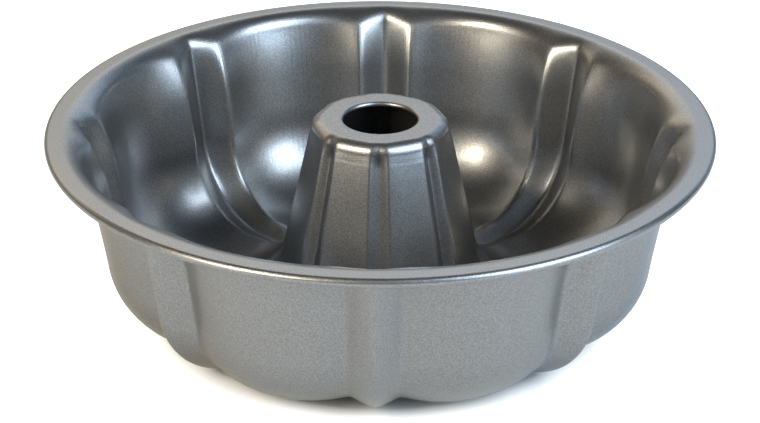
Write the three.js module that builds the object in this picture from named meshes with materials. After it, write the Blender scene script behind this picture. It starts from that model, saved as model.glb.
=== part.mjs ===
// A fluted tube pan for ring cakes. A coated steel shell is pressed with eight V grooves that run down its
// wall, across its floor and up the tube, with a broad lobe between each two. The centre tube is a pressing
// of its own, clinched into the floor, and a steel wire lies in the rolled rim.
// Millimetres, +Z up. The origin is on the table, on the pan's axis, and one groove faces -Y.

import * as THREE from 'three';
import { mergeVertices } from 'three/addons/utils/BufferGeometryUtils.js';

// Overall sizes
const RIM_DIAMETER = 254;
const PAN_HEIGHT = 77.4;
const TUBE_RISE = 0.8;
const SHEET = 0.7;
const FIT_GAP = 0.3;

// Rolled rim and its wire
const RIM_WIRE_DIAMETER = 1.6;
const RIM_CURL_TURN = 288;
const RIM_FLANGE_WIDTH = 11.7;

// Meridian of the groove roots, on the cavity side of the sheet
const WALL_DRAFT = 8.8;
const RIM_FILLET = 6.4;
const FLOOR_BEND = 38;
const FLOOR_BEND_MOST = 0.75;
const FLOOR_LAND = 6;
const TUBE_DRAFT = 12.6;
const TUBE_SHOULDER = 3;
const TUBE_TOP_WIDTH = 11.8;
const RUNOUT_DEPTH = 2.3;
const RUNOUT_LENGTH = 8;
const RUNOUT_BEND = 10;
const HOLE_RADIUS = 14.2;
const HOLE_LIP_BEND = 0.4;
const HOLE_LIP_DEPTH = 1.5;

// Flutes: how far each crease, and the middle of each lobe, stands in from the groove roots. Near its top
// the tube's grooves run out, so that the flat ring round the hole has a plain eight-sided edge.
const FLUTE_COUNT = 8;
const GROOVE_ANGLE_WALL = 5.6;
const GROOVE_ANGLE_TUBE = 6.9;
const GROOVE_LAND_ANGLE = 1;
const MOUTH_CREASE = 3.6;
const WALL_CREASE = 7;
const WALL_LOBE = 1.2;
const BEND_CREASE = 2.3;
const BEND_LOBE = -1.8;
const FLOOR_CREASE = 3.6;
const FLOOR_LOBE = 1.2;
const TUBE_CREASE = 2;
const TUBE_LOBE = 1.3;
const RUNOUT_START = 0.25;
const SHOULDER_CREASE = 0.5;
const SHOULDER_LOBE = -0.25;
const TUBE_TOP_LOBE = -0.55;

// Clinched seam between floor and tube, where the shell's neck stands down into the tube's hook
const SEAM_SHARE = 0.5;
const NECK_LENGTH = 4;
const NECK_BEND = 0.5;
const HOOK_LEG = 2;

// Facets
const LOBE_COLUMNS = 4;
const WIRE_SIDES = 8;
const ARC_STEPS = { rim: 4, floor: 7, foot: 3, runout: 1, shoulder: 4, lip: 2, bead: 9, neck: 2, hook: 4 };

const COATING = { color: 0x6f7276, roughness: 0.42, metalness: 0.75 };
const WIRE_STEEL = { color: 0xb4b6b8, roughness: 0.35, metalness: 1 };

const { degToRad, lerp } = THREE.MathUtils;
const RIM_RADIUS = RIM_DIAMETER / 2;
const WIRE_RADIUS = RIM_WIRE_DIAMETER / 2;
const CURL_INSIDE = WIRE_RADIUS + FIT_GAP;
const CURL_OUTSIDE = CURL_INSIDE + SHEET;
const BEAD_CENTRE = new THREE.Vector2(RIM_RADIUS - CURL_OUTSIDE, PAN_HEIGHT - CURL_OUTSIDE);
const TUBE_HEIGHT = PAN_HEIGHT + TUBE_RISE;
const SHOULDER_RADIUS = HOLE_RADIUS + TUBE_TOP_WIDTH;
const WALL_TOP_RADIUS = RIM_RADIUS - RIM_FLANGE_WIDTH;
const WALL_FOOT_RADIUS = WALL_TOP_RADIUS - (PAN_HEIGHT - SHEET) * Math.tan(degToRad(WALL_DRAFT));
const tubeRootRadius = (drop) => SHOULDER_RADIUS - RUNOUT_DEPTH + drop * Math.tan(degToRad(TUBE_DRAFT));
const TUBE_FOOT_RADIUS = tubeRootRadius(TUBE_HEIGHT - SHEET);

// The two bends of the floor take up what the flat land leaves between wall and tube, the tube's foot last.
const bendReach = (draft) => Math.tan(degToRad(90 - draft) / 2);
const BEND_ROOM = WALL_FOOT_RADIUS - TUBE_FOOT_RADIUS - FLOOR_LAND;
const FLOOR_BEND_REACH = Math.min(FLOOR_BEND * bendReach(WALL_DRAFT), BEND_ROOM * FLOOR_BEND_MOST);
const TUBE_FOOT_BEND = (BEND_ROOM - FLOOR_BEND_REACH) / bendReach(TUBE_DRAFT);

// A station says how the flutes shape the sheet at one place along the meridian: the way into the cavity,
// the inset of crease and lobe along it, and the half angle of the groove.
function station(way, crease, lobe, angle) {
  return { way: way.clone().normalize(), crease, lobe, angle };
}

function blendStations(a, b, share) {
  const way = a.way.clone().lerp(b.way, share);
  const mix = (key) => lerp(a[key], b[key], share);
  return station(way, mix('crease'), mix('lobe'), mix('angle'));
}

const radial = new THREE.Vector2(1, 0);
const inward = new THREE.Vector2(-1, 0);
const up = new THREE.Vector2(0, 1);
const offWall = new THREE.Vector2(-Math.cos(degToRad(WALL_DRAFT)), Math.sin(degToRad(WALL_DRAFT)));
const offTube = new THREE.Vector2(Math.cos(degToRad(TUBE_DRAFT)), Math.sin(degToRad(TUBE_DRAFT)));

const PLAIN_RIM = station(inward, 0, 0, GROOVE_ANGLE_WALL);
const MOUTH = station(offWall, MOUTH_CREASE, 0, GROOVE_ANGLE_WALL);
const WALL = station(offWall, WALL_CREASE, WALL_LOBE, GROOVE_ANGLE_WALL);
const BEND = station(offWall.clone().add(up), BEND_CREASE, BEND_LOBE, GROOVE_ANGLE_WALL);
const FLOOR = station(up, FLOOR_CREASE, FLOOR_LOBE, (GROOVE_ANGLE_WALL + GROOVE_ANGLE_TUBE) / 2);
const TUBE = station(offTube, TUBE_CREASE, TUBE_LOBE, GROOVE_ANGLE_TUBE);
const SHOULDER = station(offTube, SHOULDER_CREASE, SHOULDER_LOBE, GROOVE_ANGLE_TUBE);
const TUBE_TOP = station(radial, 0, TUBE_TOP_LOBE, GROOVE_ANGLE_TUBE);
const PLAIN_HOLE = station(radial, 0, 0, GROOVE_ANGLE_TUBE);

// Corners of the meridian from the rim to the hole's lip. Along each corner's arc the flutes go from the
// station "before" to "after", drawn towards "pull" where the corner has one.
const RIM_END = { r: BEAD_CENTRE.x, z: PAN_HEIGHT };
const RIM_CORNER = { r: WALL_TOP_RADIUS, z: PAN_HEIGHT, radius: RIM_FILLET,
  before: PLAIN_RIM, pull: PLAIN_RIM, after: MOUTH };
const FLOOR_CORNER = { r: WALL_FOOT_RADIUS, z: SHEET, radius: FLOOR_BEND_REACH / bendReach(WALL_DRAFT),
  before: WALL, pull: BEND, after: FLOOR };
const FOOT_CORNER = { r: TUBE_FOOT_RADIUS, z: SHEET, radius: TUBE_FOOT_BEND, before: FLOOR, after: TUBE };
const RUNOUT_CORNER = { r: tubeRootRadius(RUNOUT_LENGTH), z: TUBE_HEIGHT - RUNOUT_LENGTH, radius: RUNOUT_BEND,
  before: TUBE, pull: TUBE, after: blendStations(TUBE, SHOULDER, RUNOUT_START) };
const SHOULDER_CORNER = { r: SHOULDER_RADIUS, z: TUBE_HEIGHT, radius: TUBE_SHOULDER,
  before: SHOULDER, after: TUBE_TOP };
const LIP_CORNER = { r: HOLE_RADIUS, z: TUBE_HEIGHT, radius: HOLE_LIP_BEND + SHEET,
  before: PLAIN_HOLE, after: PLAIN_HOLE };
const LIP_END = { r: HOLE_RADIUS, z: TUBE_HEIGHT - HOLE_LIP_DEPTH };

function arcStation({ before, after, pull = blendStations(before, after, 0.5) }, share) {
  return blendStations(blendStations(before, pull, share), blendStations(pull, after, share), share);
}

// A row is one point of a meridian with the direction away from the cavity and its station.
function row(point, away, place) {
  return { point, away, place };
}

// Samples one rounded corner, an arc tangent to both of its stretches, between two shares of its turn.
function cornerRows(previous, corner, next, steps, fromShare = 0, toShare = 1) {
  const at = new THREE.Vector2(corner.r, corner.z);
  const back = new THREE.Vector2(previous.r, previous.z).sub(at).normalize();
  const on = new THREE.Vector2(next.r, next.z).sub(at).normalize();
  const half = Math.acos(back.dot(on)) / 2;
  const centre = back.clone().add(on).normalize().multiplyScalar(corner.radius / Math.sin(half)).add(at);
  const start = back.clone().multiplyScalar(corner.radius / Math.tan(half)).add(at).sub(centre);
  const turn = Math.sign(on.cross(back)) * (Math.PI - 2 * half);
  const rows = [];
  for (let k = 0; k <= steps; k++) {
    const share = lerp(fromShare, toShare, k / steps);
    const spoke = start.clone().rotateAround(new THREE.Vector2(), turn * share);
    const away = spoke.clone().normalize().multiplyScalar(-Math.sign(turn));
    rows.push(row(spoke.add(centre), away, arcStation(corner, share)));
  }
  return rows;
}

// The sheet's other face, reached across its thickness.
function otherFace(rows) {
  return rows.map(({ point, away, place }) => row(point.clone().addScaledVector(away, SHEET), away, place));
}

// Points of an arc in the meridian plane that all share one station.
function arcRows(centre, radius, fromAngle, turn, steps, place) {
  const rows = [];
  for (let k = 0; k <= steps; k++) {
    const angle = fromAngle + turn * k / steps;
    const spoke = new THREE.Vector2(Math.cos(angle), Math.sin(angle));
    rows.push(row(spoke.clone().multiplyScalar(radius).add(centre), spoke, place));
  }
  return rows;
}

// Columns of facets round the pan: the two edges of each groove's land, its two creases and its lobe.
// A column gives its azimuth and how far it stands in, for any station.
const PITCH = 360 / FLUTE_COUNT;
function fluteColumns() {
  const columns = [];
  for (let flute = 0; flute < FLUTE_COUNT; flute++) {
    const middle = flute * PITCH;
    columns.push({ azimuth: () => middle - GROOVE_LAND_ANGLE, inset: () => 0 });
    columns.push({ azimuth: () => middle + GROOVE_LAND_ANGLE, inset: () => 0 });
    for (let k = 0; k <= LOBE_COLUMNS + 1; k++) {
      const share = k / (LOBE_COLUMNS + 1);
      const fromMiddle = (2 * share - 1) ** 2;
      columns.push({
        azimuth: (place) => middle + lerp(place.angle, PITCH - place.angle, share),
        inset: (place) => lerp(place.lobe, place.crease, fromMiddle),
      });
    }
  }
  return columns;
}
const COLUMNS = fluteColumns();

// Revolves a closed outline of rows, then presses the flutes into it.
function flutedRevolve(rows) {
  const closed = [...rows, rows[0]];
  const geometry = new THREE.LatheGeometry(closed.map(({ point }) => point), COLUMNS.length);
  const position = geometry.getAttribute('position');
  for (let index = 0; index < position.count; index++) {
    const column = COLUMNS[Math.floor(index / closed.length) % COLUMNS.length];
    const { point, place } = closed[index % closed.length];
    const pressed = point.clone().addScaledVector(place.way, column.inset(place));
    const azimuth = degToRad(column.azimuth(place));
    position.setXYZ(index, pressed.x * Math.sin(azimuth), -pressed.x * Math.cos(azimuth), pressed.y);
  }
  geometry.deleteAttribute('normal');
  geometry.deleteAttribute('uv');
  const solid = mergeVertices(geometry, 1e-4);
  solid.computeVertexNormals();
  return solid;
}

// The meridian in two runs, parted at the seam on the arc of the tube's foot.
const rimArc = cornerRows(RIM_END, RIM_CORNER, FLOOR_CORNER, ARC_STEPS.rim);
const floorArc = cornerRows(RIM_CORNER, FLOOR_CORNER, FOOT_CORNER, ARC_STEPS.floor);
function footArc(fromShare, toShare) {
  return cornerRows(FLOOR_CORNER, FOOT_CORNER, RUNOUT_CORNER, ARC_STEPS.foot, fromShare, toShare);
}
const shellFoot = footArc(0, SEAM_SHARE);
const seam = shellFoot.pop();
const tubeFoot = footArc(SEAM_SHARE, 1).slice(1);
const runoutArc = cornerRows(FOOT_CORNER, RUNOUT_CORNER, SHOULDER_CORNER, ARC_STEPS.runout);
const shoulderArc = cornerRows(RUNOUT_CORNER, SHOULDER_CORNER, LIP_CORNER, ARC_STEPS.shoulder);
const lipArc = cornerRows(SHOULDER_CORNER, LIP_CORNER, LIP_END, ARC_STEPS.lip);
const midWall = rimArc.at(-1).point.clone().lerp(floorArc[0].point, 0.5);
const wallRow = row(midWall, offWall.clone().negate(), WALL);
const lipEnd = row(new THREE.Vector2(LIP_END.r, LIP_END.z), radial, PLAIN_HOLE);
const shellRun = [...rimArc, wallRow, ...floorArc, ...shellFoot];
const tubeRun = [...tubeFoot, ...runoutArc, ...shoulderArc, ...lipArc, lipEnd];

// Local frame of the seam: "along" runs from the shell to the tube, "down" away from the cavity.
const down = seam.away;
const along = new THREE.Vector2(-down.y, down.x).multiplyScalar(-1);
const alongAngle = along.angle();
const downTurn = Math.sign(along.cross(down)) * Math.PI / 2;
function atSeam(a, b) {
  return seam.point.clone().addScaledVector(along, a).addScaledVector(down, b);
}
function seamRow(a, b) {
  return row(atSeam(a, b), down, seam.place);
}

// The shell's edge turns down into a neck on its own side of the seam.
const neckFace = -FIT_GAP / 2;
const neckOutside = NECK_BEND + SHEET;
const neckCentre = atSeam(neckFace - neckOutside, neckOutside);
function neckBend(radius) {
  return arcRows(neckCentre, radius, alongAngle - downTurn, downTurn, ARC_STEPS.neck, seam.place);
}

function shellRows() {
  const turn = -degToRad(RIM_CURL_TURN);
  const curl = (radius) => arcRows(BEAD_CENTRE, radius, Math.PI / 2, turn, ARC_STEPS.bead, PLAIN_RIM);
  const cavitySide = [...shellRun, ...neckBend(neckOutside), seamRow(neckFace, NECK_LENGTH)];
  const tableSide = [...otherFace(shellRun), ...neckBend(NECK_BEND), seamRow(neckFace - SHEET, NECK_LENGTH)];
  return [...curl(CURL_OUTSIDE).reverse(), ...cavitySide, ...tableSide.reverse(), ...curl(CURL_INSIDE)];
}

// The tube's edge turns down beside the neck, passes round its end and comes up behind it as a hook.
function tubeRows() {
  const face = FIT_GAP / 2;
  const bendCentre = atSeam(face + neckOutside, neckOutside);
  const bendStart = alongAngle + Math.PI;
  const bend = (radius) => arcRows(bendCentre, radius, bendStart, downTurn, ARC_STEPS.neck, seam.place);
  const hookCentre = atSeam(-(FIT_GAP + SHEET) / 2, NECK_LENGTH);
  const hookRadius = SHEET / 2 + FIT_GAP;
  const hookTurn = 2 * downTurn;
  const hook = (radius) => arcRows(hookCentre, radius, alongAngle, hookTurn, ARC_STEPS.hook, seam.place);
  const legEnd = (radius) => seamRow(-(FIT_GAP + SHEET) / 2 - radius, NECK_LENGTH - HOOK_LEG);
  const cavitySide = [legEnd(hookRadius), ...hook(hookRadius).reverse(), ...bend(neckOutside), ...tubeRun];
  const tableSide = [legEnd(hookRadius + SHEET), ...hook(hookRadius + SHEET).reverse(),
    ...bend(NECK_BEND), ...otherFace(tubeRun)];
  return [...cavitySide, ...tableSide.reverse()];
}

function wireRows() {
  return arcRows(BEAD_CENTRE, WIRE_RADIUS, 0, 2 * Math.PI, WIRE_SIDES, PLAIN_RIM).slice(0, WIRE_SIDES);
}

function piece(name, rows, finish) {
  const mesh = new THREE.Mesh(flutedRevolve(rows), new THREE.MeshStandardMaterial(finish));
  mesh.name = name;
  return mesh;
}

const pan = new THREE.Group();
pan.add(piece('fluted_shell', shellRows(), COATING));
pan.add(piece('centre_tube', tubeRows(), COATING));
pan.add(piece('rim_wire', wireRows(), WIRE_STEEL));

export default pan;
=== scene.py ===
# %% [markdown]
# # A fluted tube pan in coated steel
#
# The object is a ring-cake pan: a round steel pressing with eight V grooves that run down its wall, across
# its floor and up a hollow tube in the middle. A grey coating with a fine metallic fleck covers it all.
#
# The exact solids were made before, and this lesson dresses them. The solids are loaded first and never
# moved. Every size below is either read from them or written once, in millimetres, beside its name.

import math

import bpy
import numpy as np
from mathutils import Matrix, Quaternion, Vector


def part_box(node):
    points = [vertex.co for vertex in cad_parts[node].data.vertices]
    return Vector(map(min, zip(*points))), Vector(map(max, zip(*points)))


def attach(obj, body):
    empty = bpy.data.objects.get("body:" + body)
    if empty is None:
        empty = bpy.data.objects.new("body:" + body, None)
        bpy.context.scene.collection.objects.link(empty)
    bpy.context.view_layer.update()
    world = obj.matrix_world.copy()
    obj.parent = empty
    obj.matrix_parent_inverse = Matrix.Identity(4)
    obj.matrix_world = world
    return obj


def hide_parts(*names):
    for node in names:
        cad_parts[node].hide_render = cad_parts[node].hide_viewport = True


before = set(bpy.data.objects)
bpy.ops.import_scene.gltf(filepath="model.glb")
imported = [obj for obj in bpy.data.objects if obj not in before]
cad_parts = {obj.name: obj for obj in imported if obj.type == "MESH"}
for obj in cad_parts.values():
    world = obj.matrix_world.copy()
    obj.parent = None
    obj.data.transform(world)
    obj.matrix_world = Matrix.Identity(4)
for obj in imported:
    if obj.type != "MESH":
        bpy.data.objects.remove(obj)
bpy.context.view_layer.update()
MM = 0.001
RIM_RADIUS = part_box("fluted_shell")[1].x
PAN_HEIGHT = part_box("fluted_shell")[1].z
TUBE_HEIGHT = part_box("centre_tube")[1].z
print("solids:", sorted(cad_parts), "rim radius mm:", round(RIM_RADIUS / MM, 2))

# %% [markdown]
# ## The camera
#
# A photograph of a round rim holds its own camera: the rim's ellipse gives the tilt, and the way the ellipse
# narrows towards the back gives the distance. The numbers here come from such a fit. The camera is built
# from an aim point, two angles and a distance, because those can be read and changed one at a time.

# %% Place the camera
LENS = 95
SENSOR_WIDTH = 36
NEAREST_SEEN = 10 * MM
VIEW_AZIMUTH = math.radians(1.0)
VIEW_ELEVATION = math.radians(26.99)
VIEW_ROLL = math.radians(0.149)
VIEW_DISTANCE = 782.7 * MM
AIM_BELOW_RIM = 39.41 * MM


def place_camera():
    aim = Vector((0, 0, PAN_HEIGHT - AIM_BELOW_RIM))
    level = math.cos(VIEW_ELEVATION)
    back = Vector((
        math.sin(VIEW_AZIMUTH) * level,
        -math.cos(VIEW_AZIMUTH) * level,
        math.sin(VIEW_ELEVATION),
    ))
    data = bpy.data.cameras.new("view_camera")
    data.lens = LENS
    data.sensor_width = SENSOR_WIDTH
    data.clip_start = NEAREST_SEEN
    camera = bpy.data.objects.new("view_camera", data)
    camera.location = aim + back * VIEW_DISTANCE
    camera.rotation_mode = "QUATERNION"
    roll = Quaternion((0, 0, 1), VIEW_ROLL)
    camera.rotation_quaternion = (-back).to_track_quat("-Z", "Y") @ roll
    bpy.context.scene.collection.objects.link(camera)
    bpy.context.scene.camera = camera
    return camera


camera = place_camera()
print("camera at mm:", [round(v / MM, 1) for v in camera.location])

# %% [markdown]
# ## The meridian
#
# Cut the pan through its axis, along the root of a groove, and the cut shows one line: rim, wall, floor,
# tube, hole. It is made of straight stretches with round corners, so it is written as corners and radii. A
# hand-drawn curve would also do, but then no radius could be read from it or changed. Near the tube's top
# the grooves run out, so there the line bends away from the tube's slope, towards the shoulder.

# %% Draw the meridian's corners
SHEET = 0.7 * MM
WIRE_RADIUS = 0.8 * MM
WIRE_GAP = 0.3 * MM
CURL_INSIDE = WIRE_RADIUS + WIRE_GAP
CURL_OUTSIDE = CURL_INSIDE + SHEET
FLANGE_WIDTH = 11.7 * MM
RIM_FILLET = 6.4 * MM
WALL_DRAFT = math.radians(8.8)
FLOOR_BEND = 38 * MM
FLOOR_LAND = 6 * MM
TUBE_DRAFT = math.radians(12.6)
TUBE_SHOULDER = 3.6 * MM
TUBE_TOP_WIDTH = 11.8 * MM
RUNOUT_DEPTH = 2.3 * MM
RUNOUT_LENGTH = 8 * MM
RUNOUT_BEND = 10 * MM
HOLE_RADIUS = 14.2 * MM
HOLE_LIP_BEND = 1.1 * MM
HOLE_LIP_DEPTH = 1.5 * MM

bead_centre = np.array([RIM_RADIUS - CURL_OUTSIDE, PAN_HEIGHT - CURL_OUTSIDE])
mouth_corner = np.array([RIM_RADIUS - FLANGE_WIDTH, PAN_HEIGHT])
floor_corner = mouth_corner - (PAN_HEIGHT - SHEET) * np.array([math.tan(WALL_DRAFT), 1])
shoulder_corner = np.array([HOLE_RADIUS + TUBE_TOP_WIDTH, TUBE_HEIGHT])
tube_root_top = shoulder_corner - [RUNOUT_DEPTH, 0]
down_the_tube = np.array([math.tan(TUBE_DRAFT), -1])
runout_corner = tube_root_top + RUNOUT_LENGTH * down_the_tube
foot_corner = tube_root_top + (TUBE_HEIGHT - SHEET) * down_the_tube
lip_corner = np.array([HOLE_RADIUS, TUBE_HEIGHT])
lip_end = lip_corner - [0, HOLE_LIP_DEPTH]
rim_end = np.array([bead_centre[0], PAN_HEIGHT])

floor_reach = FLOOR_BEND * math.tan((math.pi / 2 - WALL_DRAFT) / 2)
foot_reach = floor_corner[0] - foot_corner[0] - FLOOR_LAND - floor_reach
FOOT_BEND = foot_reach / math.tan((math.pi / 2 - TUBE_DRAFT) / 2)
print("foot bend mm:", round(FOOT_BEND / MM, 2), "floor corner mm:", np.round(floor_corner / MM, 2))

# %% [markdown]
# ## How deep the flutes are
#
# The press pushes the sheet into the cavity between the grooves. At each place along the meridian a short
# list, called a station, says how: the way in, how far the creases stand in, how far the middle of a lobe
# stands in, how softly flank and lobe meet, the groove's half angle, and how wide its root is. A table with
# one line for every row would also do, but it would be long and hard to change. So stations are written only
# where the form changes, and every row between two of them is blended.

# %% Write the stations of the flutes
GROOVE_WALL = math.radians(5.6)
GROOVE_TUBE = math.radians(6.9)
GROOVE_FLOOR = (GROOVE_WALL + GROOVE_TUBE) / 2
ROOT_WALL = math.radians(0.5)
ROOT_FLOOR = math.radians(0.9)
INWARD = (-1, 0)
OUTWARD = (1, 0)
UPWARD = (0, 1)
OFF_WALL = (-math.cos(WALL_DRAFT), math.sin(WALL_DRAFT))
OFF_BEND = (-math.cos(math.pi / 4), math.sin(math.pi / 4))
OFF_TUBE = (math.cos(TUBE_DRAFT), math.sin(TUBE_DRAFT))
CREASE = 2


def station(way, crease_mm, lobe_mm, soft_mm, groove, root):
    return np.array([*way, crease_mm * MM, lobe_mm * MM, soft_mm * MM, groove, root])


plain_rim = station(INWARD, 0, 0, 0, GROOVE_WALL, ROOT_WALL)
at_mouth = station(OFF_WALL, 3.6, 0, 2.2, GROOVE_WALL, ROOT_WALL)
on_wall = station(OFF_WALL, 7, 1.2, 1.8, GROOVE_WALL, ROOT_WALL)
in_bend = station(OFF_BEND, 2.3, -1.8, 0.6, GROOVE_WALL, ROOT_FLOOR)
on_floor = station(UPWARD, 3.6, 1.2, 0.9, GROOVE_FLOOR, ROOT_FLOOR)
on_tube = station(OFF_TUBE, 2, 1.3, 0.5, GROOVE_TUBE, ROOT_FLOOR)
below_shoulder = station(OFF_TUBE, 0.2, -0.3, 0.3, GROOVE_TUBE, ROOT_FLOOR)
tube_top = station(OUTWARD, 0, -0.55, 0, GROOVE_TUBE, ROOT_FLOOR)
plain_hole = station(OUTWARD, 0, 0, 0, GROOVE_TUBE, ROOT_FLOOR)
places = (at_mouth, on_wall, on_floor, on_tube)
print("creases stand in by mm:", [round(place[CREASE] / MM, 2) for place in places])

# %% [markdown]
# ## Rows for arcs and straight stretches
#
# Two helpers sample the meridian. One rounds a corner with an arc that is tangent to both of its stretches.
# The other fills a straight stretch. A curve object could draw the line as well, but each row needs its
# point, the direction out through the sheet, and its station. One array holds all three, and named slices
# say where. Round an arc the station follows a curve with a pull in the middle, so it changes smoothly.

# %% Helpers for rows
POINT = slice(0, 2)
OUT = slice(2, 4)
STATION = slice(4, 11)
WAY = slice(4, 6)
INSET = slice(6, 9)
GROOVE = slice(9, 11)


def unit(vector):
    return vector / np.linalg.norm(vector)


def corner_rows(previous, corner, following, radius, stations, steps):
    before, pull, after = stations
    back = unit(previous - corner)
    ahead = unit(following - corner)
    half = math.acos(back @ ahead) / 2
    centre = corner + unit(back + ahead) * radius / math.sin(half)
    first = corner + back * radius / math.tan(half) - centre
    way = math.copysign(1, ahead[0] * back[1] - ahead[1] * back[0])
    share = np.linspace(0, 1, steps + 1)
    turn = way * (math.pi - 2 * half) * share
    spokes = np.stack([
        first[0] * np.cos(turn) - first[1] * np.sin(turn),
        first[0] * np.sin(turn) + first[1] * np.cos(turn),
    ], axis=1)
    share = share[:, None]
    places = (1 - share) ** 2 * before + 2 * share * (1 - share) * pull + share ** 2 * after
    return np.hstack([centre + spokes, -way * spokes / radius, places])


def straight_rows(start, end, before, after, steps, ease=1.0):
    share = np.linspace(0, 1, steps + 1)[1:-1, None]
    ahead = unit(end - start)
    out = np.tile([-ahead[1], ahead[0]], (len(share), 1))
    eased = 1 - (1 - share) ** ease
    return np.hstack([start + share * (end - start), out, before + eased * (after - before)])


def blend(a, b, share):
    return a + share * (b - a)


def middle(a, b):
    return blend(a, b, 0.5)


def names_of(*helpers):
    return [helper.__name__ for helper in helpers]


print("row helpers:", names_of(corner_rows, straight_rows, blend, middle))

# %% [markdown]
# ## Rows along the meridian
#
# The helpers now run from the rim to the hole. A mirror shows every kink, so rows are close together where
# the sheet bends and far apart where it is straight. Where the grooves run out on the tube, two shares say
# how far the station has changed at the end of the bend and at the start of the shoulder. They are chosen so
# that the middle of a lobe keeps its slope up to the shoulder.

# %% Sample the meridian
RUNOUT_START = 0.26
RUNOUT_END = 0.75

rim_arc = corner_rows(rim_end, mouth_corner, floor_corner, RIM_FILLET,
                      (plain_rim, plain_rim, at_mouth), steps=12)
floor_arc = corner_rows(mouth_corner, floor_corner, foot_corner, FLOOR_BEND,
                        (on_wall, in_bend, on_floor), steps=44)
foot_arc = corner_rows(floor_corner, foot_corner, runout_corner, FOOT_BEND,
                       (on_floor, middle(on_floor, on_tube), on_tube), steps=28)
bend_end = blend(on_tube, below_shoulder, RUNOUT_START)
runout_arc = corner_rows(foot_corner, runout_corner, shoulder_corner, RUNOUT_BEND,
                         (on_tube, on_tube, bend_end), steps=6)
shoulder_start = blend(on_tube, below_shoulder, RUNOUT_END)
shoulder_arc = corner_rows(runout_corner, shoulder_corner, lip_corner, TUBE_SHOULDER,
                           (shoulder_start, below_shoulder, tube_top), steps=14)
lip_arc = corner_rows(shoulder_corner, lip_corner, lip_end, HOLE_LIP_BEND, (plain_hole,) * 3, steps=6)
wall_top = rim_arc[-1, POINT]
wall_foot = floor_arc[0, POINT]
mid_wall = middle(wall_top, wall_foot)

meridian = np.vstack([
    straight_rows(rim_end, rim_arc[0, POINT], plain_rim, plain_rim, steps=4),
    rim_arc,
    straight_rows(wall_top, mid_wall, at_mouth, on_wall, steps=24, ease=2),
    straight_rows(mid_wall, wall_foot, on_wall, on_wall, steps=6),
    floor_arc,
    straight_rows(floor_arc[-1, POINT], foot_arc[0, POINT], on_floor, on_floor, steps=3),
    foot_arc,
    straight_rows(foot_arc[-1, POINT], runout_arc[0, POINT], on_tube, on_tube, steps=10),
    runout_arc,
    straight_rows(runout_arc[-1, POINT], shoulder_arc[0, POINT], bend_end, shoulder_start, steps=5),
    shoulder_arc,
    straight_rows(shoulder_arc[-1, POINT], lip_arc[0, POINT], tube_top, plain_hole, steps=4),
    lip_arc,
    np.hstack([lip_end, OUTWARD, plain_hole])[None],
])
lengths = np.linalg.norm(np.diff(meridian[:, POINT], axis=0), axis=1)
along = np.concatenate([[0], np.cumsum(lengths)])
print("meridian:", len(meridian), "rows,", round(along[-1] / MM, 1), "mm long")

# %% [markdown]
# ## Soften and split the meridian
#
# A punch has no sudden changes, so the stations are averaged over a short way along the meridian, further on
# the shell than on the tube. The tube is a pressing of its own, clinched into the floor half way round the
# bend at its foot, so the meridian is split there. A small gap in the rows on each side leaves room for the
# turned edges of the seam.

# %% Soften the stations and split at the seam
SHELL_SOFTNESS = 2 * MM
TUBE_SOFTNESS = 0.7 * MM
SEAM_ROOM = 1.2 * MM


def soften(rows, along):
    spacing = np.gradient(along)
    width = np.where(rows[:, 0] > foot_corner[0], SHELL_SOFTNESS, TUBE_SOFTNESS)
    weight = np.exp(-0.5 * ((along[:, None] - along[None]) / width[:, None]) ** 2) * spacing[None]
    weight /= weight.sum(axis=1, keepdims=True)
    soft = rows.copy()
    soft[:, STATION] = weight @ rows[:, STATION]
    soft[:, WAY] /= np.linalg.norm(soft[:, WAY], axis=1, keepdims=True)
    return soft


meridian = soften(meridian, along)
seam_place = foot_arc[len(foot_arc) // 2, POINT]
seam_at = np.argmin(np.linalg.norm(meridian[:, POINT] - seam_place, axis=1))
seam = meridian[seam_at]
shell_run = meridian[along < along[seam_at] - SEAM_ROOM]
tube_run = meridian[along > along[seam_at] + SEAM_ROOM]
print("seam at mm:", np.round(seam[POINT] / MM, 2), "rows before and after:", len(shell_run), len(tube_run))

# %% [markdown]
# ## Two faces, a curl and a seam
#
# A pressing has two faces, so its outline goes along the cavity side, round the edge and back along the
# table side, one sheet thickness away. A Solidify modifier would also give a sheet its thickness, but not
# the turned edges. The helpers give a run's other face, points and arcs at the seam, and the rim's curl.

# %% Helpers for outlines
CURL_TURN = math.radians(288)

seam_out = seam[OUT]
seam_ahead = np.array([seam_out[1], -seam_out[0]])


def other_face(rows):
    moved = rows.copy()
    moved[:, POINT] += SHEET * rows[:, OUT]
    return moved


def placed(points, template):
    rows = np.tile(template, (len(points), 1))
    rows[:, POINT] = points
    return rows


def at_seam(ahead, out):
    return seam[POINT] + np.outer(ahead, seam_ahead) + np.outer(out, seam_out)


def seam_arc(ahead, out, radius, start, end, steps):
    angle = np.radians(np.linspace(start, end, steps + 1))
    return at_seam(ahead + radius * np.cos(angle), out + radius * np.sin(angle))


def rim_curl(radius, steps):
    angle = math.pi / 2 - np.linspace(0, CURL_TURN, steps + 1)
    return placed(bead_centre + radius * np.stack([np.cos(angle), np.sin(angle)], axis=1), rim_arc[0])


print("outline helpers:", names_of(other_face, placed, at_seam, seam_arc, rim_curl))

# %% [markdown]
# ## Closed outlines of the three pieces
#
# The shell starts with the rolled rim, a curl round a wire, and needs only every second row on its table
# side. At the seam it turns down into a neck, and the tube's edge goes round that neck as a hook. The two
# could simply touch, but a real seam is clinched, so that it holds and keeps batter in. A small gap stays
# between the two sheets. The wire's outline is a circle.

# %% Close the outlines
SEAM_GAP = 0.08 * MM
SEAM_EDGE = 0.35 * MM
NECK_LENGTH = 4 * MM
HOOK_LEG = 2 * MM
WIRE_SIDES = 14
TABLE_SIDE_STRIDE = 2


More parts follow.
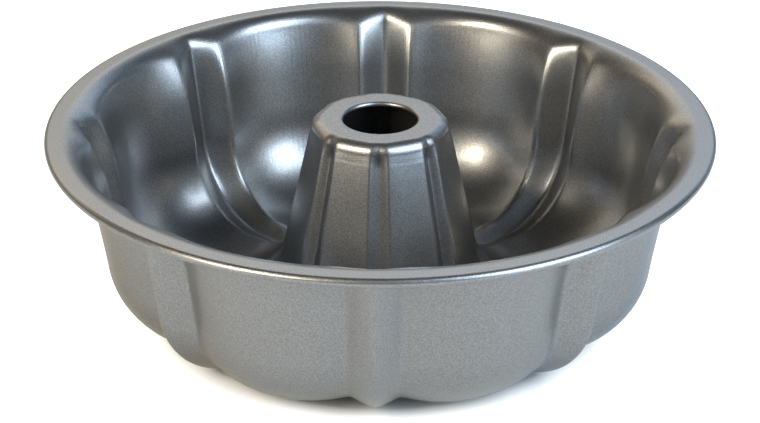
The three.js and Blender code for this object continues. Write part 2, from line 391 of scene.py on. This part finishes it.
def shell_outline():
    face = -SEAM_GAP / 2
    edge = seam_arc(face - SEAM_EDGE, SEAM_EDGE, SEAM_EDGE, start=-90, end=0, steps=4)
    neck_end = at_seam([face, face - SHEET], [NECK_LENGTH, NECK_LENGTH])
    return np.vstack([
        rim_curl(CURL_OUTSIDE, steps=22)[::-1],
        shell_run,
        placed(edge, seam),
        placed(neck_end, seam),
        placed(at_seam(face - SHEET, SHEET), seam),
        other_face(shell_run[::TABLE_SIDE_STRIDE])[::-1],
        rim_curl(CURL_INSIDE, steps=12),
    ])


def tube_outline():
    face = SEAM_GAP / 2
    middle_of_neck = -(SEAM_GAP + SHEET) / 2
    inner = SHEET / 2 + SEAM_GAP
    outer = inner + SHEET
    hook_in = seam_arc(middle_of_neck, NECK_LENGTH, inner, start=180, end=0, steps=8)
    hook_out = seam_arc(middle_of_neck, NECK_LENGTH, outer, start=0, end=180, steps=10)
    leg_end = at_seam([middle_of_neck - outer, middle_of_neck - inner], [NECK_LENGTH - HOOK_LEG] * 2)
    edge = seam_arc(face + SEAM_EDGE, SEAM_EDGE, SEAM_EDGE, start=180, end=270, steps=4)
    return np.vstack([
        placed(leg_end, seam),
        placed(hook_in, seam),
        placed(edge, seam),
        tube_run,
        other_face(tube_run)[::-1],
        placed(at_seam(face + SHEET, SHEET), seam),
        placed(hook_out, seam),
    ])


def wire_outline():
    angle = np.linspace(0, 2 * math.pi, WIRE_SIDES, endpoint=False)
    return placed(bead_centre + WIRE_RADIUS * np.stack([np.cos(angle), np.sin(angle)], axis=1), rim_arc[0])


outlines = {"shell": shell_outline(), "tube": tube_outline(), "wire": wire_outline()}
print("outline rows:", {name: len(rows) for name, rows in outlines.items()})

# %% [markdown]
# ## Helpers for node trees
#
# A node tree can be wired by hand in the editor, but then its sizes sit apart from those above. Here the
# script wires it. Four small functions do the work: they feed a socket, add a node, do one sum, and open a
# node group with named inputs and outputs.

# %% Helpers for node trees
def feed(tree, socket, value):
    if isinstance(value, bpy.types.NodeSocket):
        tree.links.new(value, socket)
    elif value is not None:
        socket.default_value = value


def add(tree, kind, *values, **settings):
    node = tree.nodes.new(kind)
    for name, value in settings.items():
        setattr(node, name, value)
    for socket, value in zip(node.inputs, values):
        feed(tree, socket, value)
    return node


def calc(tree, operation, *values):
    return add(tree, "ShaderNodeMath", *values, operation=operation).outputs[0]


def open_group(name, kind, inputs, outputs):
    tree = bpy.data.node_groups.new(name, kind)
    for label, socket_kind, value in inputs:
        socket = tree.interface.new_socket(label, in_out="INPUT", socket_type=socket_kind)
        if value is not None:
            socket.default_value = value
    for label, socket_kind in outputs:
        tree.interface.new_socket(label, in_out="OUTPUT", socket_type=socket_kind)
    return tree, tree.nodes.new("NodeGroupInput").outputs, tree.nodes.new("NodeGroupOutput").inputs


print("node helpers:", names_of(feed, add, calc, open_group))

# %% [markdown]
# ## A tree that presses flutes: the rows
#
# The flutes follow a rule, so Geometry Nodes make them. One lobe could be modelled by hand and repeated, but
# a changed station would then mean modelling it again. The tree takes an outline whose points carry their
# stations as attributes, and sweeps it round the axis as a grid. Its first part finds the row and the column
# of every point on the grid, and reads that row's station from the outline.

# %% Find each point's row and read its station
def grid_of_rows(tree, given):
    rows = add(tree, "GeometryNodeAttributeDomainSize", given["Outline"]).outputs["Point Count"]
    rows_and_seam = calc(tree, "ADD", rows, 1)
    all_columns = calc(tree, "MULTIPLY", given["Flutes"], given["Columns per Flute"])
    grid = add(tree, "GeometryNodeMeshGrid", 1, 1, calc(tree, "ADD", all_columns, 1), rows_and_seam)
    index = add(tree, "GeometryNodeInputIndex").outputs[0]
    column = calc(tree, "FLOOR", calc(tree, "DIVIDE", calc(tree, "ADD", index, 0.5), rows_and_seam))
    row = calc(tree, "SUBTRACT", index, calc(tree, "MULTIPLY", column, rows_and_seam))
    return grid.outputs["Mesh"], column, calc(tree, "FLOORED_MODULO", row, rows)


def from_row(tree, given, row, attribute):
    if attribute == "position":
        value = add(tree, "GeometryNodeInputPosition").outputs[0]
    else:
        named = add(tree, "GeometryNodeInputNamedAttribute", attribute, data_type="FLOAT_VECTOR")
        value = named.outputs[0]
    sample = add(tree, "GeometryNodeSampleIndex", given["Outline"], value, row, data_type="FLOAT_VECTOR")
    return add(tree, "ShaderNodeSeparateXYZ", sample.outputs[0]).outputs


print("first part of the press:", names_of(grid_of_rows, from_row))

# %% [markdown]
# ## A tree that presses flutes: the columns
#
# Even columns would do, but the sheet bends most at the grooves and creases. So a share of each flute's
# columns goes to its groove. The others lie closer together at the crease and wider apart in the middle of
# the lobe. Every angle is counted from the nearest groove's root, so both sides of a groove are alike.

# %% Spread the columns round the axis
COLUMN_CROWDING = 1.2


def spread_columns(tree, given, column, groove):
    half_pitch = calc(tree, "DIVIDE", math.pi, given["Flutes"])
    turn = calc(tree, "DIVIDE", column, given["Columns per Flute"])
    nearest = calc(tree, "ROUND", turn)
    side = calc(tree, "SUBTRACT", turn, nearest)
    share = calc(tree, "MULTIPLY", calc(tree, "ABSOLUTE", side), 2)
    in_groove = given["Groove Share of Columns"]
    in_lobe = calc(tree, "SUBTRACT", 1, in_groove)
    groove_share = calc(tree, "MINIMUM", calc(tree, "DIVIDE", share, in_groove), 1)
    lobe_share = calc(tree, "DIVIDE", calc(tree, "SUBTRACT", share, in_groove), in_lobe)
    lobe_share = calc(tree, "POWER", calc(tree, "MAXIMUM", lobe_share, 0), COLUMN_CROWDING)
    lobe_room = calc(tree, "SUBTRACT", half_pitch, groove)
    off_root = calc(tree, "ADD", calc(tree, "MULTIPLY", groove, groove_share),
                    calc(tree, "MULTIPLY", lobe_room, lobe_share))
    root_at = calc(tree, "MULTIPLY", nearest, calc(tree, "MULTIPLY", half_pitch, 2))
    azimuth = calc(tree, "ADD", root_at, calc(tree, "MULTIPLY", off_root, calc(tree, "SIGN", side)))
    from_middle = calc(tree, "DIVIDE", calc(tree, "SUBTRACT", half_pitch, off_root), lobe_room)
    return azimuth, off_root, from_middle


print("second part of the press:", names_of(spread_columns))

# %% [markdown]
# ## A tree that presses flutes: the heights
#
# Two heights are worked out for every point: that of the groove's flank, which rises from a rounded root,
# and that of the lobe, which sinks towards its middle. The lower of the two is taken. A plain minimum would
# leave a sharp crease where they meet, so a soft minimum rounds it.

# %% Work out how far the sheet is pushed in
def hypotenuse(tree, a, b):
    return calc(tree, "SQRT", calc(tree, "ADD", calc(tree, "MULTIPLY", a, a), calc(tree, "MULTIPLY", b, b)))


def rise(tree, angle, root):
    return calc(tree, "SUBTRACT", hypotenuse(tree, angle, root), root)


def flank_height(tree, peak, off_root, groove, root):
    share = calc(tree, "DIVIDE", rise(tree, off_root, root), rise(tree, groove, root))
    return calc(tree, "MULTIPLY", peak, share)


def lobe_height(tree, peak, lobe, from_middle):
    share = calc(tree, "MULTIPLY", from_middle, from_middle)
    return calc(tree, "ADD", lobe, calc(tree, "MULTIPLY", calc(tree, "SUBTRACT", peak, lobe), share))


def soft_minimum(tree, a, b, soft):
    spread = hypotenuse(tree, calc(tree, "SUBTRACT", a, b), soft)
    return calc(tree, "MULTIPLY", calc(tree, "SUBTRACT", calc(tree, "ADD", a, b), spread), 0.5)


print("third part of the press:", names_of(hypotenuse, rise, flank_height, lobe_height, soft_minimum))

# %% [markdown]
# ## Put the press together
#
# The parts are joined here. Each point of the grid goes to its place, the grid's ends are welded, edges that
# bend more than a given angle stay sharp, and the finish is set. The inputs have names, so that one tree
# makes all three pieces. The wire has no flutes, because its stations push nothing in.

# %% Build the flute press
FLUTES = 8
WELD_DISTANCE = 0.001 * MM


def flute_press():
    tree, given, result = open_group("flute_press", "GeometryNodeTree", [
        ("Outline", "NodeSocketGeometry", None),
        ("Flutes", "NodeSocketInt", FLUTES),
        ("Columns per Flute", "NodeSocketInt", 72),
        ("Groove Share of Columns", "NodeSocketFloat", 0.42),
        ("Sharp Edge Angle", "NodeSocketFloat", math.radians(50)),
        ("Finish", "NodeSocketMaterial", None),
    ], [("Pressing", "NodeSocketGeometry")])
    grid, column, row = grid_of_rows(tree, given)
    point_r, _, point_z = from_row(tree, given, row, "position")
    way_r, _, way_z = from_row(tree, given, row, "way")
    crease, lobe, soft = from_row(tree, given, row, "inset")
    groove, root, _ = from_row(tree, given, row, "groove")

    azimuth, off_root, from_middle = spread_columns(tree, given, column, groove)
    peak = calc(tree, "MULTIPLY_ADD", soft, 0.5, crease)
    flank = flank_height(tree, peak, off_root, groove, root)
    bulge = lobe_height(tree, peak, lobe, from_middle)
    inset = soft_minimum(tree, flank, bulge, soft)
    radius = calc(tree, "ADD", point_r, calc(tree, "MULTIPLY", way_r, inset))
    height = calc(tree, "ADD", point_z, calc(tree, "MULTIPLY", way_z, inset))
    place = add(tree, "ShaderNodeCombineXYZ",
                calc(tree, "MULTIPLY", radius, calc(tree, "SINE", azimuth)),
                calc(tree, "MULTIPLY", calc(tree, "MULTIPLY", radius, calc(tree, "COSINE", azimuth)), -1),
                height).outputs[0]

    pressed = add(tree, "GeometryNodeSetPosition", grid, None, place).outputs[0]
    welded = add(tree, "GeometryNodeMergeByDistance", pressed)
    welded.inputs["Distance"].default_value = WELD_DISTANCE
    bend = add(tree, "GeometryNodeInputMeshEdgeAngle").outputs["Unsigned Angle"]
    is_edge = calc(tree, "GREATER_THAN", bend, given["Sharp Edge Angle"])
    smooth = add(tree, "GeometryNodeSetShadeSmooth", welded.outputs[0], is_edge, False, domain="EDGE")
    realized = add(tree, "GeometryNodeRealizeInstances", smooth.outputs[0])
    finished = add(tree, "GeometryNodeSetMaterial", realized.outputs[0], None, given["Finish"])
    feed(tree, result["Pressing"], finished.outputs[0])
    return tree


press = flute_press()
print("flute press:", len(press.nodes), "nodes")

# %% [markdown]
# ## Effects that the finishes share
#
# Both metals show a fine speckle when looked at closely: flakes in the coating, and drawing marks on the
# wire. Larger, faint patches lie over it. A picture of such a surface would do from one distance only, so
# noise makes both. A node group holds the two noises once, at the sizes that its user asks for, and gives
# them out as values for colour, roughness and bump. The shaders stay in the materials.

# %% Make the speckle group
GRAIN_DETAIL = 1.0
PATCH_DETAIL = 2.0


def speckle_group():
    tree, given, result = open_group("metal_speckle", "ShaderNodeTree", [
        ("Vector", "NodeSocketVector", None),
        ("Grains per Metre", "NodeSocketFloat", 1500.0),
        ("Patches per Metre", "NodeSocketFloat", 60.0),
    ], [("Grain", "NodeSocketFloat"), ("Patch", "NodeSocketFloat")])
    for label, scale, detail in (
        ("Grain", "Grains per Metre", GRAIN_DETAIL),
        ("Patch", "Patches per Metre", PATCH_DETAIL),
    ):
        noise = add(tree, "ShaderNodeTexNoise", given["Vector"], noise_dimensions="3D")
        feed(tree, noise.inputs["Scale"], given[scale])
        feed(tree, noise.inputs["Detail"], detail)
        feed(tree, result[label], noise.outputs["Fac"])
    return tree


speckle = speckle_group()
print("speckle group:", len(speckle.nodes), "nodes")

# %% [markdown]
# ## Helpers for materials
#
# A material starts with one Principled shader and the piece's own coordinates, so that a speckle stays on
# its piece. The other helpers place the speckle group, spread a value over a new range, and mix two colours.
# A Mix node has sockets for each kind of value, so those for colours are picked by their numbers.

# %% Helpers for materials
MIX_COLOUR_A = 6
MIX_COLOUR_B = 7
MIX_COLOUR_RESULT = 2


def start_material(name):
    material = bpy.data.materials.new(name)
    material.use_nodes = True
    tree = material.node_tree
    shader = tree.nodes["Principled BSDF"]
    vector = add(tree, "ShaderNodeTexCoord").outputs["Object"]
    return material, tree, shader, vector


def place_speckle(tree, vector, grains, patches):
    node = tree.nodes.new("ShaderNodeGroup")
    node.node_tree = speckle
    feed(tree, node.inputs["Vector"], vector)
    node.inputs["Grains per Metre"].default_value = grains
    node.inputs["Patches per Metre"].default_value = patches
    return node.outputs["Grain"], node.outputs["Patch"]


def ramp(tree, value, low, high, to_low, to_high):
    node = add(tree, "ShaderNodeMapRange", value, low, high, to_low, to_high)
    return node.outputs[0]


def mix_colours(tree, factor, first, second):
    node = tree.nodes.new("ShaderNodeMix")
    node.data_type = "RGBA"
    feed(tree, node.inputs["Factor"], factor)
    node.inputs[MIX_COLOUR_A].default_value = (*first, 1)
    node.inputs[MIX_COLOUR_B].default_value = (*second, 1)
    return node.outputs[MIX_COLOUR_RESULT]


print("material helpers:", names_of(start_material, place_speckle, ramp, mix_colours))

# %% [markdown]
# ## The grey coating
#
# A non-stick coating of this kind is a grey film full of metal flakes, with a clear layer on top. The flakes
# tilt a little, so they mirror a light broadly and look grainy. The clear layer adds a smaller and brighter
# highlight. One metallic layer would be simpler, but it has only one kind of highlight. So the Principled
# shader gets both: a rather rough, mostly metallic base and a smoother coat. The grain drives the base's
# colour and a bump, and the patches drive its roughness.

# %% Make the coating
FLAKES_PER_METRE = 1900.0
COATING_PATCHES_PER_METRE = 45.0
FLAKE_RANGE = (0.32, 0.68)
FLAKE_DARK = (0.168, 0.169, 0.171)
FLAKE_LIGHT = (0.268, 0.269, 0.272)
FLAKE_HEIGHT = 0.05 * MM
PATCH_RANGE = (0.3, 0.7)
COATING_ROUGHNESS = (0.36, 0.4)
EDGE_TINT = (0.6, 0.6, 0.6, 1)


def grey_coating():
    material, tree, shader, vector = start_material("flecked_grey_coating")
    grain, patch = place_speckle(tree, vector, FLAKES_PER_METRE, COATING_PATCHES_PER_METRE)
    fleck = ramp(tree, grain, *FLAKE_RANGE, 0, 1)
    feed(tree, shader.inputs["Base Color"], mix_colours(tree, fleck, FLAKE_DARK, FLAKE_LIGHT))
    feed(tree, shader.inputs["Roughness"], ramp(tree, patch, *PATCH_RANGE, *COATING_ROUGHNESS))
    shader.inputs["Metallic"].default_value = 0.95
    shader.inputs["Specular Tint"].default_value = EDGE_TINT
    shader.inputs["Coat Weight"].default_value = 1.0
    shader.inputs["Coat Roughness"].default_value = 0.22
    shader.inputs["Coat IOR"].default_value = 1.6
    bump = tree.nodes.new("ShaderNodeBump")
    bump.inputs["Strength"].default_value = 1.0
    bump.inputs["Distance"].default_value = FLAKE_HEIGHT
    feed(tree, bump.inputs["Height"], grain)
    feed(tree, shader.inputs["Normal"], bump.outputs[0])
    return material


coating = grey_coating()
print("coating:", coating.name)

# %% [markdown]
# ## The wire's steel
#
# The wire in the rolled rim shows only from below, through the slit of the curl. It is bright drawn steel,
# so it is fully metallic. Its speckle is finer than the coating's and makes it more or less rough, and the
# patches make it lighter and darker. It has no bump, which would be too small to see.

# %% Make the wire's steel
MARKS_PER_METRE = 2600.0
WIRE_PATCHES_PER_METRE = 120.0
MARK_RANGE = (0.3, 0.7)
WIRE_DARK = (0.52, 0.53, 0.54)
WIRE_LIGHT = (0.66, 0.665, 0.67)
WIRE_ROUGHNESS = (0.26, 0.36)


def wire_steel():
    material, tree, shader, vector = start_material("drawn_wire_steel")
    grain, patch = place_speckle(tree, vector, MARKS_PER_METRE, WIRE_PATCHES_PER_METRE)
    shade = ramp(tree, patch, *PATCH_RANGE, 0, 1)
    feed(tree, shader.inputs["Base Color"], mix_colours(tree, shade, WIRE_DARK, WIRE_LIGHT))
    feed(tree, shader.inputs["Roughness"], ramp(tree, grain, *MARK_RANGE, *WIRE_ROUGHNESS))
    shader.inputs["Metallic"].default_value = 1.0
    return material


steel = wire_steel()
print("wire steel:", steel.name)

# %% [markdown]
# ## From an outline to a piece
#
# Each outline becomes a mesh of loose edges whose points carry the stations. The tree runs on it as a
# modifier. The result is copied into a plain mesh, so that nothing live is left. A modifier's inputs are set
# by the identifiers of the tree's sockets, because their labels are only for reading.

# %% Helpers that press a piece
def outline_object(name, rows):
    count = len(rows)
    nothing = np.zeros(count)
    radius, height = rows[:, POINT].T
    way_r, way_z = rows[:, WAY].T
    crease, lobe, soft = rows[:, INSET].T
    groove, root = rows[:, GROOVE].T
    mesh = bpy.data.meshes.new(name)
    points = np.stack([radius, nothing, height], axis=1)
    mesh.from_pydata(points.tolist(), [(k, (k + 1) % count) for k in range(count)], [])
    for attribute, columns in (
        ("way", (way_r, nothing, way_z)),
        ("inset", (crease, lobe, soft)),
        ("groove", (groove, root, nothing)),
    ):
        values = np.stack(columns, axis=1).astype(np.float32)
        mesh.attributes.new(attribute, "FLOAT_VECTOR", "POINT").data.foreach_set("vector", values.ravel())
    obj = bpy.data.objects.new(name, mesh)
    bpy.context.scene.collection.objects.link(obj)
    return obj


def set_inputs(modifier, values):
    for item in modifier.node_group.interface.items_tree:
        if item.item_type == "SOCKET" and item.in_out == "INPUT" and item.name in values:
            modifier[item.identifier] = values[item.name]


def press_piece(name, rows, finish, columns):
    obj = outline_object(name, rows)
    modifier = obj.modifiers.new("press", "NODES")
    modifier.node_group = press
    set_inputs(modifier, {"Flutes": FLUTES, "Columns per Flute": columns, "Finish": finish})
    graph = bpy.context.evaluated_depsgraph_get()
    pressed = bpy.data.meshes.new_from_object(obj.evaluated_get(graph), depsgraph=graph)
    obj.modifiers.remove(modifier)
    outline = obj.data
    obj.data = pressed
    pressed.name = name
    bpy.data.meshes.remove(outline)
    return obj


def volume_of(mesh):
    mesh.calc_loop_triangles()
    corners = np.zeros(len(mesh.loop_triangles) * 3, np.int32)
    mesh.loop_triangles.foreach_get("vertices", corners)
    points = np.zeros(len(mesh.vertices) * 3)
    mesh.vertices.foreach_get("co", points)
    a, b, c = points.reshape(-1, 3)[corners.reshape(-1, 3)].transpose(1, 0, 2)
    return np.einsum("ij,ij->i", a, np.cross(b, c)).sum() / 6


print("press helpers:", names_of(outline_object, set_inputs, press_piece, volume_of))

# %% [markdown]
# ## Press the three pieces
#
# The pan consists of the shell, the tube and the wire. One tree makes all three, and each stands for its
# solid. They could be one mesh, but a part in a library is more use when its pieces can be told apart. More
# columns make the mirrored lights smoother, and the printed counts show how many triangles each piece has. A
# positive volume
# shows that the faces point outwards.

# %% Press the shell, the tube and the wire
SHELL_COLUMNS = 60
TUBE_COLUMNS = 72
WIRE_COLUMNS = 32

shell = press_piece("pressed_shell", outlines["shell"], coating, SHELL_COLUMNS)
tube = press_piece("pressed_tube", outlines["tube"], coating, TUBE_COLUMNS)
wire = press_piece("rim_wire_ring", outlines["wire"], steel, WIRE_COLUMNS)
for piece, node, slot in (
    (shell, "fluted_shell", "dark_coating"),
    (tube, "centre_tube", "dark_coating"),
    (wire, "rim_wire", "wire_steel"),
):
    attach(piece, "root")
    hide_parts(node)
    volume = round(volume_of(piece.data) / MM ** 3)
    print(piece.name, "triangles:", len(piece.data.loop_triangles), "volume mm3:", volume)

# %% [markdown]
# ## The table
#
# The pan stands on a white table. In a catalogue picture such a table is brightened to pure white, but more
# light would burn out the metal too. So the table is a pale surface that takes the shadow, and a Light Path
# node asks who looks at it. To the camera, and to the metal that mirrors it, the table's colour holds a
# painted
# shade: darker near the pan and whiter away from it. For the camera alone it also glows away from the pan,
# with a strength of 1, which is white; this painted light leaves the ring by the pan as a painted shadow.

# %% Lay the floor
TABLE_REACH = 6000 * MM
TABLE_ROUGHNESS = 0.9
TABLE_COLOUR = (0.59, 0.59, 0.58)
TABLE_PAINTED_WHITE = (0.85, 0.85, 0.84)
# Painted shade and painted light on the table: its colour is darker near the pan, and it glows for the
# camera away from it.
TABLE_PAINTED_SHADE_RANGE = (80 * MM, 160 * MM)
TABLE_PAINTED_GLOW_RANGE = (82.5 * MM, 97 * MM)
GLOW_COLOUR = (1, 1, 1, 1)


def white_table():
    mesh = bpy.data.meshes.new("white_table")
    corners = [(x * TABLE_REACH, y * TABLE_REACH, 0) for x, y in ((-1, -1), (1, -1), (1, 1), (-1, 1))]
    mesh.from_pydata(corners, [], [(0, 1, 2, 3)])
    table = bpy.data.objects.new("white_table", mesh)
    bpy.context.scene.collection.objects.link(table)
    material, tree, shader, vector = start_material("white_table")
    ray = add(tree, "ShaderNodeLightPath").outputs
    seen = calc(tree, "MAXIMUM", ray["Is Camera Ray"],
                calc(tree, "MAXIMUM", ray["Is Glossy Ray"], ray["Is Transmission Ray"]))
    away = add(tree, "ShaderNodeVectorMath", vector, operation="LENGTH").outputs["Value"]
    # Painted shade: to the camera and to mirroring metal the table's colour is darker near the pan and
    # whiter away, on top of the lamps' real shadow.
    white = calc(tree, "MULTIPLY", seen, ramp(tree, away, *TABLE_PAINTED_SHADE_RANGE, 0, 1))
    feed(tree, shader.inputs["Base Color"], mix_colours(tree, white, TABLE_COLOUR, TABLE_PAINTED_WHITE))
    # Painted light: for the camera alone the table glows white away from the pan, so the ring by the pan
    # shows as a painted shadow.
    painted_glow = calc(tree, "MULTIPLY", ray["Is Camera Ray"], ramp(tree, away, *TABLE_PAINTED_GLOW_RANGE, 0, 1))
    shader.inputs["Emission Color"].default_value = GLOW_COLOUR
    feed(tree, shader.inputs["Emission Strength"], painted_glow)
    shader.inputs["Roughness"].default_value = TABLE_ROUGHNESS
    mesh.materials.append(material)
    return table


table = white_table()
print("floor:", table.name)

# %% [markdown]
# ## Soft boxes
#
# Two soft boxes hang in front of the pan, one on each side, and a dimmer panel hangs low by each of them.
# The left ones are warm and the right ones cool, which tints the lobes. A lamp could be set by its power and
# size, but a mirror shows only how wide and how bright it looks. So a box is written by the angle it fills
# as seen from the pan, and by how bright its face is.

# %% Hang the soft boxes
BOX_DISTANCE = 1300 * MM
WARM_LAMP = (1.0, 0.9, 0.72)
COOL_LAMP = (0.72, 0.86, 1.0)
COOL_PANEL_LAMP = (0.6, 0.8, 1.0)


def soft_box(name, azimuth, elevation, spread, level, colour):
    side = 2 * BOX_DISTANCE * math.tan(math.radians(spread / 2))
    data = bpy.data.lights.new(name, "AREA")
    data.size = side
    data.energy = level * math.pi * side ** 2
    data.color = colour
    lamp = bpy.data.objects.new(name, data)
    a, e = math.radians(azimuth), math.radians(elevation)
    way = Vector((math.sin(a) * math.cos(e), -math.cos(a) * math.cos(e), math.sin(e)))
    lamp.location = Vector((0, 0, PAN_HEIGHT)) + way * BOX_DISTANCE
    lamp.rotation_mode = "QUATERNION"
    lamp.rotation_quaternion = way.to_track_quat("Z", "Y")
    bpy.context.scene.collection.objects.link(lamp)
    return lamp


lamps = [
    soft_box("warm_box", azimuth=-42, elevation=32, spread=25, level=15.0, colour=WARM_LAMP),
    soft_box("cool_box", azimuth=55, elevation=35, spread=38, level=8.9, colour=COOL_LAMP),
    soft_box("warm_panel", azimuth=-50, elevation=14, spread=24, level=3.7, colour=WARM_LAMP),
    soft_box("cool_panel", azimuth=52, elevation=14, spread=24, level=5.8, colour=COOL_PANEL_LAMP),
]
print("lamps:", [lamp.name for lamp in lamps])

# %% [markdown]
# ## The room
#
# The flat flange and the tube's top mirror what is behind the pan, where a lit backdrop stands. It could be
# a glowing sheet, but the world's background does the same without a mesh. It is brightest at middle height,
# fades towards its foot, the ceiling and the sides, and is turned and leans a little. The rest of the room
# is dim. The whole is warm on the left and cool on the right. With the Standard view, 1 is shown as white.

# %% Light the room
BACKDROP_LIGHT = 3.1
BACKDROP_TURN = (-0.15, 1, 0)
BACKDROP_LEAN = (0.12, -0.6, 1)
BACKDROP_SIDES = (0.25, 1.0)
BACKDROP_TOP = (0.0, 0.5)
BACKDROP_FOOT = (-0.35, 0.1)
BACKDROP_LOW = 0.1
ROOM_LIGHT = 0.05
WARM_SIDE = (1.0, 0.88, 0.68)
COOL_SIDE = (0.6, 0.78, 1.0)
TINT_REACH = 0.7


def smooth_ramp(tree, value, between, levels):
    node = add(tree, "ShaderNodeMapRange", value, *between, *levels, interpolation_type="SMOOTHSTEP")
    return node.outputs[0]


def studio_world():
    world = bpy.data.worlds.new("studio")
    world.use_nodes = True
    tree = world.node_tree
    background = tree.nodes["Background"]
    way = add(tree, "ShaderNodeTexCoord").outputs["Generated"]
    across = add(tree, "ShaderNodeSeparateXYZ", way).outputs["X"]
    tint = smooth_ramp(tree, across, (-TINT_REACH, TINT_REACH), (0, 1))
    feed(tree, background.inputs["Color"], mix_colours(tree, tint, WARM_SIDE, COOL_SIDE))
    behind = add(tree, "ShaderNodeVectorMath", way, BACKDROP_TURN, operation="DOT_PRODUCT").outputs["Value"]
    height = add(tree, "ShaderNodeVectorMath", way, BACKDROP_LEAN, operation="DOT_PRODUCT").outputs["Value"]
    sides = smooth_ramp(tree, behind, BACKDROP_SIDES, (0, 1))
    level = smooth_ramp(tree, height, BACKDROP_TOP, (BACKDROP_LIGHT - ROOM_LIGHT, 0))
    foot = smooth_ramp(tree, height, BACKDROP_FOOT, (BACKDROP_LOW, 1))
    lit = calc(tree, "MULTIPLY", sides, foot)
    feed(tree, background.inputs["Strength"], calc(tree, "MULTIPLY_ADD", lit, level, ROOM_LIGHT))
    bpy.context.scene.world = world
    return world


room = studio_world()
bpy.context.scene.view_settings.view_transform = "Standard"
print("room:", room.name, "with", len(room.node_tree.nodes), "nodes")
